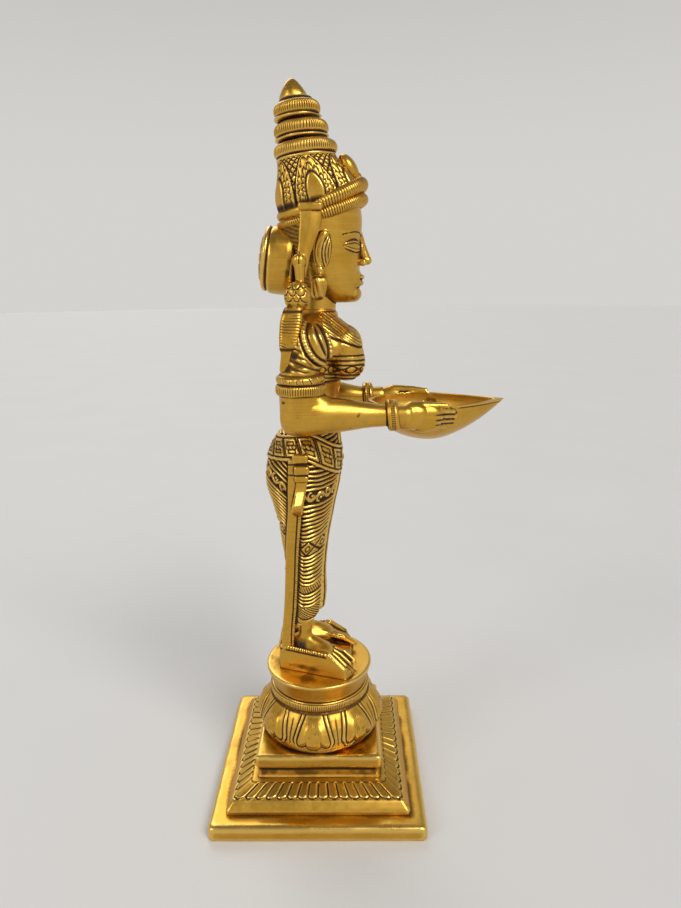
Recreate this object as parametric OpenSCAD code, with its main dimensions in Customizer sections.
// Lamp bearer in cast brass: a stepped square base with a lotus pedestal, a draped
// standing figure, and a leaf-shaped oil bowl held out in both hands.
// Millimetres. The origin is the centre of the base's underside, +Z is up, +X is the way
// the figure faces, and -Y is the side of its right hand.

/* [Square base] */
// Width of the square base plate
base_w = 94; // [80:1:110]
// Height of the base plate
plate_h = 7; // [6:0.5:10]
// Rounding of the plate's upper edge
plate_round = 1.6; // [0.6:0.2:2.4]
// Width across the foot of the petal plinth
plinth_w = 80; // [72:1:88]
// Height of the petal plinth
plinth_h = 8.6; // [7:0.2:12]
// Width across the tips of the plinth's petals
petal_tip_w = 73; // [68:1:76]
// Width across the top of the plinth's petals
petal_top_w = 61; // [59:1:64]
// Petals along one side of the plinth
plinth_petals = 16; // [9:1:21]
// Width of the square block
block_w = 56; // [50:1:58]
// Height of the square block
block_h = 11.4; // [8:0.2:16]
// Thickness of the cast walls in the base
cast_wall = 3.4; // [2.6:0.2:4.4]

/* [Lotus pedestal] */
// Diameter of the lotus dome where it bulges
lotus_d = 57.4; // [52:0.5:62]
// Height of the lotus dome
lotus_h = 18.2; // [14:0.2:24]
// Petals round the lotus dome
lotus_petals = 8; // [6:1:12]
// Diameter of the beaded collar
collar_d = 46.4; // [42:0.2:50]
// Height of the beaded collar
collar_h = 4.4; // [3:0.2:6]
// Diameter of the standing disc at its top
disc_top_d = 49.2; // [46:0.2:56]
// Diameter of the standing disc at its foot
disc_foot_d = 43.6; // [38:0.2:45]
// Height of the standing disc
disc_h = 9.5; // [6:0.5:14]

/* [Tie rod] */
// Diameter of the tie rod
rod_d = 6; // [5:0.5:8]
// How far the tie rod reaches into the foot block
rod_reach = 5; // [3:0.5:6]
// Distance across the flats of the hex nut
nut_af = 10; // [9:0.5:14]
// Height of the hex nut
nut_h = 3.4; // [2.4:0.2:4.4]
// Diameter of the clamp washer
washer_d = 36; // [24:1:44]
// Thickness of the clamp washer
washer_t = 1.4; // [1:0.2:2]

/* [Lower body] */
// Height of the foot block at the heels
foot_h = 12; // [9:0.5:15]
// Height of the hem above the standing disc
hem_h = 23; // [20:0.5:26]
// Height of the waist above the standing disc
waist_h = 113; // [106:1:120]
// Width across the hips
hip_w = 39; // [34:0.5:44]
// Height of the jewelled belt
belt_h = 10.6; // [7:0.2:13]
// Width across the hem
hem_w = 23; // [20:0.5:28]
// Width of the hanging sash
sash_w = 5.6; // [4:0.2:7]

/* [Upper body] */
// Width of the waist
waist_w = 25; // [22:0.5:28]
// Height of the neck joint above the waist
torso_h = 46; // [43:0.5:49]
// Width across the chest under the arms
chest_w = 37; // [33:0.5:40]
// Distance between the two upper arms' centrelines
arm_span = 51; // [49:0.5:58]
// Diameter of the upper arm inside its armlet
arm_d = 15; // [12:0.2:16]
// Outer diameter of the armlet
armlet_d = 19.4; // [18:0.2:22]
// Height of the armlet
armlet_h = 8.2; // [6:0.2:10]

/* [Head and crown] */
// Width of the head at the temples
head_w = 28; // [25:0.5:31]
// Height of the crown's seat above the neck joint
seat_h = 34.6; // [33:0.2:37]
// Backward tilt of the crown's seat in degrees
seat_tilt = 11; // [8:0.5:15]
// Front-to-back length of the headband
band_l = 37; // [34:0.5:40]
// Height of one roll of the headband
roll_h = 5.4; // [4.4:0.2:6.4]
// Height of the crown's drum
drum_h = 12; // [9:0.5:15]
// Rings on the crown's spire
spire_rings = 3; // [2:1:4]
// Diameter of the lowest spire ring
ring_d = 24.8; // [22:0.2:26]
// Height of one spire ring with its groove
ring_h = 7.1; // [6:0.1:8.4]
// How far each spire ring sits behind the one below
ring_set_back = 1.5; // [0.6:0.1:1.8]
// Backward tilt of the spire rings in degrees
ring_tilt = 6; // [3:0.5:8]
// Height of the finial
finial_h = 7.4; // [6:0.2:12]
// Diameter of the hair bun at its rim
bun_d = 25; // [22:0.5:28]
// Thickness of the hair bun
bun_t = 11; // [8:0.5:13]

/* [Arms and oil bowl] */
// Reach of the right wrist in front of the base's centre
wrist_x = 31.8; // [28:0.2:36]
// How much further back the left wrist lies
left_set_back = 8; // [0:0.5:10]
// Height of the wrists above the waist
wrist_up = 7.2; // [5:0.2:9]
// Diameter of the wrist inside its bangle
wrist_d = 8.6; // [7:0.2:9.6]
// Outer diameter of the bangle
bangle_d = 12.6; // [11.6:0.2:14]
// Width of the bangle along the arm
bangle_w = 5; // [3.4:0.2:7]
// Distance between the two wrists' centrelines
wrist_span = 45; // [43:0.5:48]
// Reach of the bowl's spout in front of the base's centre
spout_x = 80.6; // [74:0.2:90]
// Reach of the bowl's back end
bowl_back_x = 23; // [20:0.5:26]
// Width of the bowl at its widest
bowl_w = 40; // [36:0.5:42]
// Depth of the bowl outside
bowl_depth = 16.8; // [13:0.2:20]
// Thickness of the bowl's wall
bowl_wall = 1.8; // [1.2:0.1:2.6]
// Height of the bowl's rim above the waist
rim_up = 9.8; // [9:0.2:12]

/* [Fits] */
// Radial gap round every tenon, pin and rod
fit_gap = 0.1; // [0.05:0.05:0.2]
// Gap left at the blind end of a socket
end_gap = 0.4; // [0.2:0.1:1]

/* [Hidden] */
$fn = 64;

BRASS = "#c9962f";
STEEL = "#8d8f92";
RIGHT = -1;
LEFT = 1;

// Levels of the stacked base
z_plinth = plate_h;
z_block = z_plinth + plinth_h;
z_dome = z_block + block_h;
z_collar = z_dome + lotus_h;
z_disc = z_collar + collar_h;
z_feet = z_disc + disc_h;

// Levels of the figure
z_hem = z_feet + hem_h;
z_waist = z_feet + waist_h;
z_neck = z_waist + torso_h;
z_seat = z_neck + seat_h;
z_wrist = z_waist + wrist_up;
z_rim = z_waist + rim_up;
z_belt = z_waist - 8;

// Tenons: diameter and length
leg_tenon = [4.6, 7];
waist_tenon = [9, 8];
neck_tenon = [7, 7];
crown_tenon = [9, 4.6];
spire_tenon = [7, 4];
finial_tenon = [2.8, 3.4];
bun_tenon = [5, 3.4];
elbow_tenon = [6.4, 7];
wrist_tenon = [4, 8];

// The clamp washer bears on a web under the plate's top
plate_web = 1.8;
z_web = plate_h - plate_web;
rod_bore_d = rod_d + 2 * fit_gap;
rod_end_z = z_web - washer_t - nut_h - 0.2;

// The crown sits square on a seat that leans back with the head
crown_x = 5;
neck_x = 1.8;
neck_d = 17.8;
band_w = head_w + 4;
drum_top_d = ring_d - 2;
spire_foot_x = -0.8;
z_spire = z_seat + 2 * roll_h + drum_h;
ring_taper = 0.85;
ring_rise = ring_h * cos(ring_tilt) + ring_set_back * sin(ring_tilt);

// The arms
arm_x = -3.7;
arm_y = arm_span / 2;
z_armlet = z_waist + 16.2;
z_elbow_joint = z_armlet + armlet_h / 2;
wrist_y = wrist_span / 2;
bowl_widest_x = bowl_back_x + 0.4 * (spout_x - bowl_back_x);

function wrist_of(side) = side == RIGHT ? wrist_x : wrist_x - left_set_back;

// Curves and lofts

// Catmull-Rom point at parameter t along a list of vectors
function spline_at(p, t) =
    let (n = len(p) - 1, i = min(floor(t), n - 1), u = t - i,
         a = p[max(i - 1, 0)], b = p[i], c = p[i + 1], d = p[min(i + 2, n)])
    0.5 * (2 * b + (c - a) * u + (2 * a - 5 * b + 4 * c - d) * u * u
        + (3 * b - a - 3 * c + d) * u * u * u);

// The list with steps points to every span
function smooth(p, steps) = [for (j = [0:steps * (len(p) - 1)]) spline_at(p, j / steps)];

// An ellipse in the XY plane at height z
function oval(x, y, z, rx, ry, n) =
    [for (i = [0:n - 1]) [x + rx * cos(360 * i / n), y + ry * sin(360 * i / n), z]];

// A skin over rings of points that go round counter-clockwise and climb
module loft(rings) {
    n = len(rings[0]);
    m = len(rings);
    sides = [for (r = [0:m - 2], i = [0:n - 1])
        let (a = r * n + i, b = r * n + (i + 1) % n, c = b + n, d = a + n)
        each [[a, d, c], [a, c, b]]];
    foot = [for (i = [0:n - 1]) i];
    top = [for (i = [n - 1:-1:0]) (m - 1) * n + i];
    polyhedron(points = [for (r = rings) each r], faces = concat([foot], sides, [top]));
}

// Several sculpted forms merged into one skin at their own size
module skin() {
    resize([0, 0, 0]) union() children();
}

// A turned form along the line from one point towards another: [distance along it, radius]
module turned(from, to, profile, sides) {
    way = to - from;
    translate(from) rotate([0, acos(way[2] / norm(way)), atan2(way[1], way[0])])
        loft([for (p = profile) oval(0, 0, p[0], p[1], p[1], sides)]);
}

// A limb with round ends between two points
module limb(from, to, r1, r2, sides = 12) {
    length = norm(to - from);
    caps = [78, 30];
    lower = [for (a = caps) [-r1 * sin(a), r1 * cos(a)]];
    upper = [for (i = [1:-1:0]) [length + r2 * sin(caps[i]), r2 * cos(caps[i])]];
    turned(from, to, concat(lower, upper), sides);
}

// An egg with half-axes along X, Y and Z
module egg(centre, half, sides = 16) {
    steps = sides / 2;
    translate(centre) loft([for (i = [0:steps])
        let (a = -80 + 160 * i / steps)
        oval(0, 0, half[2] * sin(a), half[0] * cos(a), half[1] * cos(a), sides)]);
}

module tenon(size) {
    cylinder(d = size[0], h = size[1]);
}

// A cutter for everything above z = 0
module all_above() {
    reach = spout_x + base_w;
    translate([-reach, -reach, 0]) cube(2 * reach);
}

// The socket for a tenon, cut from a face at z = 0 upwards
module socket(size) {
    translate([0, 0, -end_gap]) cylinder(d = size[0] + 2 * fit_gap, h = size[1] + 2 * end_gap);
}

// A square moulding: one half-profile of [half-width, height] points, mitred at the corners
module square_moulding(profile) {
    length = 2 * max([for (p = profile) p[0]]) + 1;
    outline = concat(profile, [for (i = [len(profile) - 1:-1:0]) [-profile[i][0], profile[i][1]]]);
    intersection() {
        rotate([90, 0, 0]) linear_extrude(length, center = true) polygon(outline);
        rotate([90, 0, 90]) linear_extrude(length, center = true) polygon(outline);
    }
}

// Points of a quarter round from a wall at half-width w up to a flat at height h
function quarter(w, h, r, steps = 5) =
    [for (i = [0:steps]) [w - r + r * cos(90 * i / steps), h - r + r * sin(90 * i / steps)]];

// Square base

module base_plate() {
    well = base_w - 2 * cast_wall - 4;
    color(BRASS) difference() {
        square_moulding(concat(
            [[base_w / 2 - 0.8, 0], [base_w / 2, 1]],
            quarter(base_w / 2, plate_h, plate_round)));
        translate([-well / 2, -well / 2, -1]) cube([well, well, z_web + 1]);
        translate([0, 0, -1]) cylinder(d = rod_bore_d, h = plate_h + 2);
    }
}

// Profile of the plinth up to the petal band
function plinth_profile() =
    let (foot = plinth_w / 2, tip = petal_tip_w / 2, top = petal_top_w / 2, ledge = 1.1)
    [[foot, 0], [foot - 0.6, plinth_h * 0.26], [foot - 1.2, plinth_h * 0.34],
     [tip, plinth_h * 0.55], [top, plinth_h - ledge], [top - 0.6, plinth_h - 0.3], [top - 1.2, plinth_h]];

// The grooves between the petals on one side of the plinth
module petal_grooves() {
    tip = petal_tip_w / 2;
    top = petal_top_w / 2;
    rise = plinth_h * 0.45 - 1.1;
    run = tip - top;
    slope = atan2(rise, run);
    length = norm([rise, run]) + 0.2;
    pitch = petal_top_w / plinth_petals;
    for (i = [1:plinth_petals - 1])
        translate([(i - plinth_petals / 2) * pitch, -tip, plinth_h * 0.55])
            rotate([slope, 0, 0])
                rotate([0, 45, 0])
                    translate([-0.5, 0, -0.5]) cube([1, length, 1]);
}

module petal_plinth() {
    well = block_w - 2 * cast_wall;
    color(BRASS) difference() {
        translate([0, 0, z_plinth]) difference() {
            square_moulding(plinth_profile());
            for (turn = [0:90:270]) rotate(turn) petal_grooves();
            translate([-well / 2, -well / 2, -1]) cube([well, well, plinth_h - cast_wall + 1]);
        }
        translate([0, 0, z_plinth - 1]) cylinder(d = rod_bore_d, h = plinth_h + 2);
    }
}

module square_block() {
    neck = block_w / 2 - 0.8;
    face = block_w / 2;
    well = block_w - 4 * cast_wall;
    color(BRASS) translate([0, 0, z_block]) difference() {
        square_moulding(concat(
            [[neck + 0.6, 0], [neck, 0.8], [neck, block_h * 0.42], [face, block_h * 0.48]],
            quarter(face, block_h, 1)));
        translate([-well / 2, -well / 2, -1]) cube([well, well, block_h - cast_wall + 1]);
        translate([0, 0, -1]) cylinder(d = rod_bore_d, h = block_h + 2);
    }
}

// Lotus pedestal

// Half-profile of the dome without its petals: [radius, height]
function dome_profile(h) =
    [[lotus_d / 2 - 3, 0], [lotus_d / 2 - 1.5, h * 0.1], [lotus_d / 2 - 0.7, h * 0.24],
     [lotus_d / 2 - 0.8, h * 0.42], [lotus_d / 2 - 2, h * 0.62], [lotus_d / 2 - 4, h * 0.82],
     [collar_d / 2 - 0.4, h]];

// How far a petal stands out, by its angle from the petal's middle and its height share
function petal_relief(turn, up) =
    let (half = 180 / lotus_petals, across = abs(turn) / half, droop = 0.06 + 0.3 * pow(across, 4),
         stand = 1.1 * (1 - pow(across, 6)) * min(1, 6 * (up - droop)) * (1 - 0.5 * up))
    up < droop || up > 0.96 ? 0 : stand;

// One petal looks a little past the middle of the side
petal_turn = -4;

module lotus_dome() {
    around = 10 * lotus_petals;
    profile = dome_profile(lotus_h);
    rings = [for (p = profile) [for (i = [0:around - 1])
        let (a = 360 * i / around, pitch = 360 / lotus_petals,
             turn = a - pitch * round(a / pitch), up = p[1] / lotus_h,
             r = p[0] + petal_relief(turn, up))
        [r * cos(a), r * sin(a), p[1]]]];
    color(BRASS) translate([0, 0, z_dome]) difference() {
        rotate(petal_turn) loft(rings);
        translate([0, 0, -1]) cylinder(d = collar_d - 4 * cast_wall, h = lotus_h - cast_wall + 1);
        translate([0, 0, -1]) cylinder(d = rod_bore_d, h = lotus_h + 2);
    }
}

module beaded_collar() {
    r = collar_d / 2;
    bead = collar_h / 2;
    color(BRASS) translate([0, 0, z_collar]) difference() {
        rotate_extrude() union() {
            square([r - 0.9, collar_h]);
            translate([r - bead, bead]) circle(r = bead);
        }
        translate([0, 0, -1]) cylinder(d = rod_bore_d, h = collar_h + 2);
    }
}

module standing_disc() {
    foot = disc_foot_d / 2;
    top = disc_top_d / 2;
    lip = 1.2;
    color(BRASS) translate([0, 0, z_disc]) difference() {
        rotate_extrude() polygon([[0, 0], [foot - 0.8, 0], [foot, 0.8], [foot + 0.4, disc_h * 0.3],
            [top - 0.5, disc_h - 2 * lip], [top, disc_h - lip], [top - 0.3, disc_h - 0.3],
            [top - 1, disc_h], [0, disc_h]]);
        translate([0, 0, -1]) cylinder(d = rod_bore_d, h = disc_h + 2);
    }
}

// Tie rod and its fasteners

module tie_rod() {
    color(STEEL) translate([0, 0, rod_end_z]) cylinder(d = rod_d, h = z_feet + rod_reach - rod_end_z);
}

module clamp_washer() {
    color(STEEL) translate([0, 0, z_web - washer_t]) difference() {
        cylinder(d = washer_d, h = washer_t);
        translate([0, 0, -1]) cylinder(d = rod_bore_d, h = washer_t + 2);
    }
}

module hex_nut() {
    color(STEEL) translate([0, 0, z_web - washer_t - nut_h]) difference() {
        cylinder(d = nut_af / cos(30), h = nut_h, $fn = 6);
        translate([0, 0, -1]) cylinder(d = rod_bore_d, h = nut_h + 2);
    }
}

// Feet and lower body

heel_x = -17.4;
toe_x = 15;
ankle_y = 6.2;

// The wedge that the feet stand on: high at the heels, low and wide at the toes
module foot_wedge() {
    low = 3;
    half_plan = [[heel_x, 8.5], [toe_x - 3, 18.5], [toe_x, 15]];
    plan = concat([for (p = half_plan) [p[0], -p[1]]], [for (i = [2:-1:0]) half_plan[i]]);
    foot = [for (p = plan) [p[0], p[1], 0]];
    top = [for (p = plan) [p[0], p[1], low + (foot_h - low) * (toe_x - p[0]) / (toe_x - heel_x)]];
    loft([foot, top]);
}

// One bare foot, turned out, with five toes
module foot(side) {
    turn = 19;
    translate([-5, side * ankle_y, 0]) rotate(side * turn) {
        limb([-2, 0, foot_h - 1], [12, 0, foot_h - 5.2], 5, 5.4);
        limb([0, 0, foot_h], [0, 0, hem_h + 1], 5, 4.7);
        for (toe = [0:4])
            let (y = side * (toe - 2) * 2.7, end_r = 1.9 - 0.1 * toe, reach = 19.6 - 0.8 * toe)
            limb([11, y * 0.8, foot_h - 5.6], [reach, y, foot_h - 8.3], 2, end_r, 8);
    }
}

module foot_block() {
    color(BRASS) difference() {
        translate([0, 0, z_feet]) {
            difference() {
                skin() {
                    foot_wedge();
                    foot(RIGHT);
                    foot(LEFT);
                }
                translate([0, 0, hem_h]) all_above();
                mirror([0, 0, 1]) all_above();
            }
            for (side = [RIGHT, LEFT])
                translate([-5, side * ankle_y, hem_h - 2]) tenon([leg_tenon[0], leg_tenon[1] + 2]);
        }
        translate([0, 0, z_feet]) socket([rod_d, rod_reach]);
    }
}

// Stations of the draped legs and hips: share of the height from hem to waist, back, front,
// share of the way from the hem's half-width to the hips', and depth of the cleft between the legs
leg_stations = [
    [0, -15.6, 2.4, 0, 3.0],
    [0.12, -15.6, 3.2, 0.08, 3.2],
    [0.26, -14.4, 3.2, 0.3, 3.0],
    [0.38, -14.8, 4.2, 0.5, 2.8],
    [0.50, -16.2, 5.8, 0.74, 2.4],
    [0.62, -18.6, 8, 0.95, 1.8],
    [0.73, -21.2, 10, 1, 1.2],
    [0.83, -20.6, 11, 0.94, 0.6],
    [0.92, -16.6, 10.6, 0.62, 0.3],
    [1, -12.4, 10, 0.1, 0]
];

function leg_ring(s, n) =
    let (half = s[0] > 0.9 ? mix_width(s) : (hem_w + (hip_w - hem_w) * s[3]) / 2,
         x = (s[1] + s[2]) / 2, rx = (s[2] - s[1]) / 2)
    [for (i = [0:n - 1])
        let (a = 360 * i / n, y = half * sin(a), dent = s[4] * exp(-pow(y / 3.4, 2)))
        [x + (rx - dent) * cos(a), y, z_hem + s[0] * (z_waist - z_hem)]];

// Near the waist the width runs into the waist's own
function mix_width(s) =
    let (t = (s[0] - 0.9) / 0.1, hips = (hem_w + (hip_w - hem_w) * s[3]) / 2)
    hips + (waist_w / 2 - hips) * t * t * (3 - 2 * t);

// The pleated cloth that hangs in front between the legs
module front_pleat() {
    drop = [[0.02, 3.6, 3.4], [0.16, 4.2, 3.8], [0.4, 4.6, 4.4], [0.6, 8.2, 5], [0.76, 10.6, 4.4]];
    loft([for (p = smooth(drop, 2))
        let (z = z_hem + p[0] * (z_waist - z_hem), x = p[1], w = p[2])
        [for (p = [[-4, -1], [x - 0.9, -1], [x, -0.5], [x - 0.5, 0], [x, 0.5], [x - 0.9, 1], [-4, 1]])
            [p[0], w * p[1], z]]]);
}

// The jewelled belt that rides low round the hips, deepest in front
module hip_belt() {
    back = -19.4;
    front = 11.4;
    loft([for (up = [-1, -0.7, 0.7, 1])
        [for (i = [0:23])
            let (t = 15 * i, proud = abs(up) < 1 ? 0.9 : -0.4, sag = 6.5 * pow(max(0, cos(t)), 1.5))
            [(back + front) / 2 + ((front - back) / 2 + proud) * cos(t), (hip_w / 2 - 1.4 + proud) * sin(t),
             z_belt + up * belt_h / 2 - sag]]]);
}

module lower_form() {
    skin() {
        loft([for (s = smooth(leg_stations, 2)) leg_ring(s, 24)]);
        front_pleat();
        hip_belt();
    }
}

module lower_body() {
    color(BRASS) difference() {
        lower_form();
        for (side = [RIGHT, LEFT]) translate([-5, side * ankle_y, z_hem]) socket(leg_tenon);
        translate([-1, 0, z_waist]) mirror([0, 0, 1]) socket(waist_tenon);
    }
}

// The long sash that hangs beside each leg down to the foot block, with its bow at the hip
module sash(side) {
    top = [-6.8, side * (hip_w / 2 + 0.4), z_belt - 4];
    foot_x = heel_x + 4.2;
    color(BRASS) skin() difference() {
        union() {
            hull() {
                translate([top[0] - sash_w / 2, top[1] - 2, top[2] - 2]) cube([sash_w, 4, 2]);
                translate([foot_x - sash_w / 2, side * 7.2 - 2, z_feet + foot_h + 1]) cube([sash_w, 4, 1]);
            }
            hull() {
                translate([foot_x - sash_w / 2, side * 7.2 - 2, z_feet + foot_h + 1]) cube([sash_w, 4, 1]);
                translate([foot_x - sash_w / 2, side * 6.4 - 2, z_feet + foot_h - 6]) cube([sash_w, 4, 1]);
            }
            limb(top + [-2, side * 1.4, 1.6], top + [2.4, side * 1.4, 0.4], 2.6, 2.2, 8);
            limb(top + [1.4, side * 1.6, -3], top + [0.2, side * 2, -18.6], 2.4, 2.8, 8);
        }
        lower_form();
        translate([0, 0, z_feet]) foot_wedge();
    }
}

// Torso and arms

torso_stations = [
    [0, -12.4, 10, 0],
    [0.16, -12, 10, 0],
    [0.32, -11.8, 11, 0.3],
    [0.5, -12, 12.4, 0.7],
    [0.68, -12, 12.6, 1],
    [0.82, -11, 11.4, 1],
    [0.92, -9, 10, 0.5],
    [1, -6.4, 10, -0.55]
];

function torso_ring(s, n) =
    let (half = (waist_w + (chest_w - waist_w) * s[3]) / 2)
    oval((s[1] + s[2]) / 2, 0, z_waist + s[0] * torso_h, (s[2] - s[1]) / 2, half, n);

// A station of the shoulder, from its inner side at the chest to its outer side on the arm
function shoulder_station(side, z, x, inner, outer, half_depth) =
    [z, x, side * (inner + outer) / 2, half_depth, (outer - inner) / 2];

// The upper arm: a full shoulder that narrows to a round stub inside the armlet
module upper_arm(side) {
    stub = arm_d / 2;
    stations = [
        [z_elbow_joint, arm_x, side * arm_y, stub, stub],
        [z_armlet + armlet_h + 0.6, arm_x, side * arm_y, stub, stub],
        [z_armlet + armlet_h + 4, arm_x + 1.6, side * (arm_y - 0.4), 8.4, 6.6],
        shoulder_station(side, z_neck - 14, arm_x + 2.8, chest_w / 2 - 1, arm_y + 5.6, 9.2),
        shoulder_station(side, z_neck - 7, arm_x + 2.4, chest_w / 2 - 2.6, arm_y + 3.6, 8),
        shoulder_station(side, z_neck - 3, arm_x + 1.6, chest_w / 2 - 5.2, arm_y - 1.8, 5)
    ];
    loft([for (s = smooth(stations, 2)) oval(s[1], s[2], s[0], s[3], s[4], 14)]);
}

// The leaf-shaped ornament on the outside of the upper arm
module arm_leaf(side) {
    translate([3.6, side * (arm_y + 4.2), z_armlet + armlet_h + 11]) rotate([0, -24, 0])
        egg([0, 0, 0], [4.6, 2.6, 10.4], 12);
}

// One side of the draped bust: a drop that hangs from the shoulder
module bust(side) {
    full = chest_w / 4;
    shoulder = [0.12 * chest_w, side * 0.82 * full, z_waist + 0.91 * torso_h];
    tip = [0.42 * chest_w, side * 0.95 * full, z_waist + 0.525 * torso_h];
    length = norm(tip - shoulder);
    // Shares of the length and of the fullest radius
    drop = [
        [-0.14, 0.22], [0, 0.5], [0.28, 0.72], [0.56, 0.91],
        [0.79, 1], [1, 0.91], [1.17, 0.65], [1.26, 0.26]
    ];
    turned(shoulder, tip, [for (d = drop) [d[0] * length, d[1] * full]], 16);
}

module torso_form() {
    skin() {
        loft([for (s = smooth(torso_stations, 2)) torso_ring(s, 24)]);
        for (side = [RIGHT, LEFT]) {
            bust(side);
            upper_arm(side);
            arm_leaf(side);
        }
    }
}

module torso() {
    color(BRASS) difference() {
        union() {
            torso_form();
            translate([-1, 0, z_waist - waist_tenon[1]]) tenon([waist_tenon[0], waist_tenon[1] + 3]);
        }
        for (side = [RIGHT, LEFT])
            translate([arm_x, side * arm_y, z_elbow_joint]) socket(elbow_tenon);
        translate([neck_x, 0, z_neck]) mirror([0, 0, 1]) socket(neck_tenon);
    }
}

// A two-roll ring round the joint between the upper arm and the forearm
module armlet(side) {
    inner = arm_d / 2 + fit_gap;
    wide = armlet_d / 2;
    color(BRASS) translate([arm_x, side * arm_y, z_armlet]) rotate_extrude()
        polygon([[inner, 0], [wide - 0.9, 0], [wide, 0.9], [wide, armlet_h * 0.48],
            [wide - 0.9, armlet_h * 0.58], [wide - 0.5, armlet_h * 0.66], [wide - 0.5, armlet_h * 0.86],
            [wide - 1.2, armlet_h], [inner, armlet_h]]);
}

// The forearm: from the round stub at the elbow, forward to the wrist
module forearm(side) {
    end_x = wrist_of(side);
    y0 = side * arm_y;
    y1 = side * wrist_y;
    stub = arm_d / 2;
    drop = z_waist + 0.6;
    reach = end_x - bangle_w / 2 - arm_x;
    // Along the arm: x, y, height of the middle, half-height, half-width
    stations = [
        [arm_x - 2, y0, drop + 7.6, 6.6, 5.4],
        [arm_x + 0.22 * reach, y0, drop + 7.4, 7.2, 6.8],
        [arm_x + 0.48 * reach, (y0 + y1) / 2, drop + 7.2, 6.6, 6.2],
        [arm_x + 0.8 * reach, y1, z_wrist, 4.7, 4.7],
        [arm_x + reach - 0.6, y1, z_wrist, wrist_d / 2, wrist_d / 2],
        [end_x, y1, z_wrist, wrist_d / 2, wrist_d / 2]
    ];
    color(BRASS) difference() {
        union() {
            skin() {
                limb([arm_x, y0, drop + stub], [arm_x, y0, drop + stub + 1], stub, stub, 24);
                loft([for (s = smooth(stations, 2)) [for (i = [0:15])
                    [s[0], s[1] + s[4] * cos(22.5 * i), s[2] + s[3] * sin(22.5 * i)]]]);
            }
            translate([arm_x, y0, drop + stub]) cylinder(r = stub, h = z_elbow_joint - drop - stub);
            translate([arm_x, y0, z_elbow_joint - 1]) tenon([elbow_tenon[0], elbow_tenon[1] + 1]);
        }
        translate([end_x, y1, z_wrist]) rotate([0, -90, 0]) socket(wrist_tenon);
    }
}

// A rounded ring round the joint at the wrist
module bangle(side) {
    inner = wrist_d / 2 + fit_gap;
    wide = bangle_d / 2;
    half = bangle_w / 2;
    color(BRASS) translate([wrist_of(side), side * wrist_y, z_wrist]) rotate([0, 90, 0]) rotate_extrude()
        polygon([[inner, -half], [wide - 1.1, -half], [wide, -half * 0.4], [wide, half * 0.4],
            [wide - 1.1, half], [inner, half]]);
}

// Oil bowl and hands

// Half-width of the leaf-shaped plan at x, for a leaf that starts and ends inset from the bowl's ends
function leaf_half(x, inset) =
    let (half = bowl_w / 2 - inset, behind = x < bowl_widest_x,
         end = behind ? bowl_back_x + inset : spout_x - 2.4 * inset,
         t = (x - bowl_widest_x) / (end - bowl_widest_x))
    behind ? half * sqrt(max(0, 1 - t * t)) : half * max(0, 1 - pow(t, 1.75));

// Depth of the keel under the rim at x
function keel(x, inset) =
    let (deep = bowl_depth - inset, low = bowl_widest_x + 5, behind = x < low,
         end = behind ? bowl_back_x + inset : spout_x - 2.4 * inset,
         t = (x - low) / (end - low))
    behind ? deep * pow(max(0, 1 - pow(t, 2.2)), 0.6) : deep * max(0, 1 - pow(t, 1.25));

// The bowl as a solid, from its rim down to its keel, each section a rounded vee
module leaf_solid(inset, above) {
    back = bowl_back_x + inset;
    tip = spout_x - 2.4 * inset;
    steps = 16;
    arc = 12;
    loft([for (j = [0:steps])
        let (u = j / steps, x = back + 0.05 + (tip - back - 0.1) * (u - 0.08 * sin(360 * u)),
             w = max(0.25, leaf_half(x, inset)), d = max(0.3, keel(x, inset)))
        concat(
            [for (k = [0:arc])
                let (a = 180 - 180 * k / arc)
                [x, w * cos(a), z_rim - d * pow(max(0, sin(a)), 0.8)]],
            above > 0 ? [[x, w, z_rim + above], [x, -w, z_rim + above]] : [])]);
}

// The hand laid along the bowl's side, thumb over the rim
module hand(side) {
    shift = side == RIGHT ? 0 : -left_set_back / 2;
    start = wrist_of(side);
    y = side * wrist_y;
    side_y = side * (bowl_w / 2 - 1.4);
    palm_x = bowl_widest_x - 1 + shift;
    heel = start + bangle_w / 2 + 2;
    limb([heel, y, z_wrist], [palm_x, side_y, z_wrist + 0.6], 4.6, 5.2, 12);
    limb([heel, y, z_wrist - 1], [palm_x - 1, side_y - side * 1.6, z_wrist - 5], 4, 3.8, 12);
    for (finger = [0:3])
        let (knuckle = [palm_x + 1, side_y - side * 0.7 * finger, z_wrist + 3 - 2.7 * finger],
             tip_y = side * (bowl_w / 2 - 2.8 - 1.5 * finger),
             tip = [palm_x + 11 - 0.9 * abs(finger - 1), tip_y, z_wrist + 1.6 - 2.5 * finger])
        limb(knuckle, tip, 1.9, 1.4, 8);
    thumb_tip = [palm_x + 7, side * (bowl_w / 2 - 1.6), z_rim + 0.7];
    limb([palm_x - 4.6, side_y - side * 0.4, z_wrist + 3.6], thumb_tip, 2.3, 1.6, 10);
}

module oil_bowl() {
    color(BRASS) union() {
        skin() difference() {
            union() {
                leaf_solid(0, 0);
                for (side = [RIGHT, LEFT]) hand(side);
            }
            leaf_solid(bowl_wall, 6);
            for (side = [RIGHT, LEFT])
                translate([wrist_of(side) - 20, side * wrist_y - 12, z_wrist - 12])
                    cube([20 + bangle_w / 2, 24, 24]);
        }
        for (side = [RIGHT, LEFT]) {
            translate([wrist_of(side), side * wrist_y, z_wrist]) rotate([0, 90, 0])
                cylinder(d = wrist_d, h = bangle_w / 2 + 2);
            translate([wrist_of(side) + 1, side * wrist_y, z_wrist]) rotate([0, -90, 0])
                tenon([wrist_tenon[0], wrist_tenon[1] + 1]);
        }
    }
}

// Head

// Puts children in the leaning frame of the crown's seat
module on_seat() {
    translate([crown_x, 0, z_seat]) rotate([0, -seat_tilt, 0]) children();
}

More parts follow.
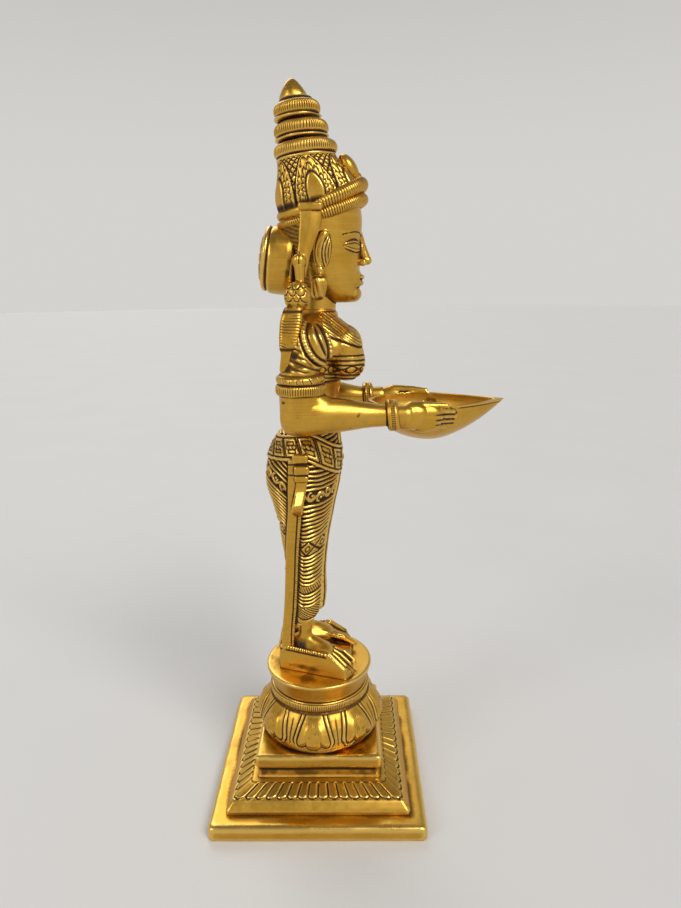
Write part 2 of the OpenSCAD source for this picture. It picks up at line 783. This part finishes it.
// A calm, plain face on even thirds: brows, nose and chin an equal distance apart
module face() {
    brow = z_seat - 4;
    third = (brow - (z_neck + 5)) / 2;
    limb([20.4, 0, brow - 1], [22.2, 0, brow - third], 1.4, 2.2, 10);
    egg([18.8, 0, brow - 1.5 * third], [2.6, 4.2, 2.2], 10);
    for (side = [RIGHT, LEFT]) egg([17.2, side * 6, brow - 0.42 * third], [2.6, 3.8, 1.9], 10);
}

// The long ear with its drop of an earring
module ear(side) {
    y = side * head_w / 2;
    lobe_r = 0.06 * head_w;
    ear_x = 0.18 * head_w;
    drop_x = 0.13 * head_w;
    // From the drop's foot up: share of the seat's height, x,
    // and in lobes: outward shift, half-length and half-width
    stations = [
        [0.87, drop_x, 0.5, 0.5, 0.45], [0.84, drop_x, 0.5, 1.3, 1.1],
        [0.76, drop_x, 0.5, 2, 1.7], [0.68, drop_x, 0.5, 1.7, 1.45],
        [0.62, drop_x + 0.2, 0.4, 0.9, 0.8], [0.56, ear_x - 0.4, 0.2, 0.9, 0.85],
        [0.5, ear_x, 0, 1.4, 1.1], [0.38, ear_x, 0, 2, 1.3],
        [0.24, ear_x, 0, 1.8, 1.2], [0.15, ear_x, 0, 0.8, 0.7]
    ];
    loft([for (s = stations)
        oval(s[1], y + side * s[2] * lobe_r, z_seat - s[0] * seat_h, s[3] * lobe_r, s[4] * lobe_r, 12)]);
}

// Stations of the skull and jaw: share of the seat's height, back, front, share of the head's width
head_stations = [
    [0.12, 5, 15, 0.3],
    [0.18, 0, 18.6, 0.5],
    [0.29, -6, 20, 0.74],
    [0.45, -10, 20, 0.88],
    [0.64, -12, 20, 0.96],
    [0.82, -12.6, 20.6, 1],
    [1, -12.2, 21, 1],
    [1.2, -11, 21, 0.97]
];

module head_form() {
    skin() difference() {
        union() {
            loft([for (s = smooth(head_stations, 2))
                let (back = s[1], front = s[2], half = s[3] * head_w / 2)
                oval((back + front) / 2, 0, z_neck + s[0] * seat_h, (front - back) / 2, half, 24)]);
            translate([neck_x, 0, z_neck])
                cylinder(d1 = neck_d, d2 = 0.9 * neck_d, h = 0.46 * seat_h, $fn = 24);
            face();
            for (side = [RIGHT, LEFT]) ear(side);
        }
        on_seat() all_above();
        translate([0, 0, z_neck]) mirror([0, 0, 1]) all_above();
        bun_frame() all_above();
    }
}

module head() {
    color(BRASS) difference() {
        union() {
            head_form();
            translate([neck_x, 0, z_neck - neck_tenon[1]]) tenon([neck_tenon[0], neck_tenon[1] + 3]);
        }
        on_seat() mirror([0, 0, 1]) socket(crown_tenon);
        bun_frame() mirror([0, 0, 1]) socket(bun_tenon);
    }
}

// The back of the head, where the bun sits; +Z points backwards and a little up
module bun_frame() {
    translate([-0.3 * head_w, 0, z_seat - 0.48 * seat_h]) rotate([0, -82, 0]) children();
}

// The hair bun: a full round knot with a flange behind it, its back a low rosette
module hair_bun() {
    rim = bun_d / 2;
    color(BRASS) bun_frame() {
        rotate_extrude() polygon([[0, 0], [rim * 0.8, 0], [rim * 0.93, bun_t * 0.12],
            [rim * 0.99, bun_t * 0.3], [rim * 0.97, bun_t * 0.64], [rim * 0.92, bun_t * 0.76],
            [rim, bun_t * 0.82], [rim, bun_t * 0.94], [rim * 0.9, bun_t], [rim * 0.5, bun_t + 0.8],
            [rim * 0.3, bun_t + 0.2], [rim * 0.22, bun_t + 1.4], [0, bun_t + 1.8]]);
        translate([0, 0, -bun_tenon[1]]) tenon([bun_tenon[0], bun_tenon[1] + 1]);
    }
}

// A ribbon from under the headband, with a bud, a scaled rosette and a strip down the arm
module tassel(side) {
    y = side * (head_w / 2 + 2.4);
    bud_y = side * (arm_y - 4.5);
    out = side * (arm_y + 2.4);
    color(BRASS) skin() difference() {
        union() {
            hull() {
                translate([-1.4, y - 1.3, z_seat - 1]) cube([5.8, 2.6, 2]);
                translate([-4, bud_y - 1.3, z_neck + 16]) cube([4.4, 2.6, 1]);
            }
            limb([-3.4, bud_y, z_neck + 19], [-3.8, side * (arm_y - 3.2), z_neck + 11], 2.7, 1.8, 8);
            egg([-4.2, side * (arm_y - 2.6), z_neck + 6], [5, 4.4, 5.8], 12);
            limb([-6, side * (arm_y - 0.6), z_neck + 1], [-7.6, out, z_neck - 12], 4, 3.4, 8);
            limb([-7.6, out, z_neck - 12], [-9.2, out, z_armlet + armlet_h + 2.4], 3, 2, 8);
        }
        torso_form();
        head_form();
        crown_form();
    }
}

// Crown

// Puts children in the frame of one spire ring, or of the finial above the last ring
module on_ring(i) {
    translate([spire_foot_x - ring_set_back * i, 0, z_spire + i * ring_h])
        rotate([0, -ring_tilt, 0]) children();
}

// An oval whose front is tilted up about its own centre
function tilted_oval(x, z, rx, ry, tilt, n) =
    [for (p = oval(0, 0, 0, rx, ry, n)) [x + p[0] * cos(tilt), p[1], z + p[0] * sin(tilt)]];

// One roll of the headband, a bulging band round the oval of the brow
module headband_roll(foot, length, across) {
    bead = roll_h / 2;
    on_seat() loft([for (t = [-75, -30, 30, 75])
        let (out = bead * (cos(t) - 1))
        oval(0, 0, foot + bead + bead * sin(t), length / 2 + out, across / 2 + out, 28)]);
}

// The drum between the headband and the spire: share of the rise, half-length, share of its own tilt
function drum_ring(s, n) =
    let (rise = s[0], x = crown_x + (spire_foot_x - crown_x) * rise, z = z_seat + rise * (z_spire - z_seat),
         tilt = seat_tilt + (ring_tilt - seat_tilt) * rise, narrow = band_w / band_l,
         half_w = s[1] * (narrow + (1 - narrow) * rise))
    tilted_oval(x, z, s[1], half_w, tilt, n);

module crown_form() {
    low = band_l / 2;
    top = drum_top_d / 2;
    stations = [
        [0, low - 2.6], [0.45, low - 2.8], [0.68, low - 3.8],
        [0.88, (low - 3 + top) / 2], [1, top]
    ];
    skin() {
        headband_roll(0, band_l - 0.6, band_w - 0.6);
        headband_roll(roll_h, band_l, band_w);
        loft([for (s = stations) drum_ring(s, 28)]);
        // the jewel over the brow
        limb([19, 0, z_seat + 2 * roll_h + 4], [13.4, 0, z_spire - 2.4], 2.4, 1.8, 10);
    }
}

module crown() {
    color(BRASS) union() {
        difference() {
            crown_form();
            on_ring(0) mirror([0, 0, 1]) socket(spire_tenon);
        }
        on_seat() translate([0, 0, -crown_tenon[1]]) tenon([crown_tenon[0], crown_tenon[1] + 1]);
    }
}

// The spire: rings that grow smaller, each with a plain lip and a groove under it
module crown_spire() {
    color(BRASS) difference() {
        union() {
            for (i = [0:spire_rings - 1])
                let (r = ring_d / 2 * pow(ring_taper, i), neck = r * 0.84,
                     top = i < spire_rings - 1 ? ring_rise + 0.3 : ring_rise)
                on_ring(i) rotate_extrude()
                    polygon([[0, 0], [neck, 0], [neck + 0.6, ring_h * 0.12], [neck + 0.6, ring_h * 0.2],
                        [r - 0.5, ring_h * 0.26], [r, ring_h * 0.4], [r - 0.2, ring_h * 0.64],
                        [r - 1, ring_h * 0.86], [neck * ring_taper - 1, top], [0, top]]);
            on_ring(0) translate([0, 0, -spire_tenon[1]]) tenon([spire_tenon[0], spire_tenon[1] + 1]);
        }
        on_ring(spire_rings) mirror([0, 0, 1]) socket(finial_tenon);
    }
}

module crown_finial() {
    r = ring_d / 2 * pow(ring_taper, spire_rings) * 0.7;
    color(BRASS) on_ring(spire_rings) {
        rotate_extrude() polygon([[0, 0], [r * 0.86, 0], [r, 0.8], [r * 0.9, finial_h * 0.35],
            [r * 0.62, finial_h * 0.66], [r * 0.3, finial_h * 0.9], [r * 0.12, finial_h * 0.98],
            [0, finial_h]]);
        translate([0, 0, -finial_tenon[1]]) tenon([finial_tenon[0], finial_tenon[1] + 1]);
    }
}

base_plate();
petal_plinth();
square_block();
lotus_dome();
beaded_collar();
standing_disc();
tie_rod();
clamp_washer();
hex_nut();
foot_block();
lower_body();
sash(RIGHT);  // right_sash
sash(LEFT);  // left_sash
torso();
armlet(RIGHT);  // right_armlet
armlet(LEFT);  // left_armlet
forearm(RIGHT);  // right_forearm
forearm(LEFT);  // left_forearm
bangle(RIGHT);  // right_bangle
bangle(LEFT);  // left_bangle
oil_bowl();
head();
hair_bun();
tassel(RIGHT);  // right_tassel
tassel(LEFT);  // left_tassel
crown();
crown_spire();
crown_finial();
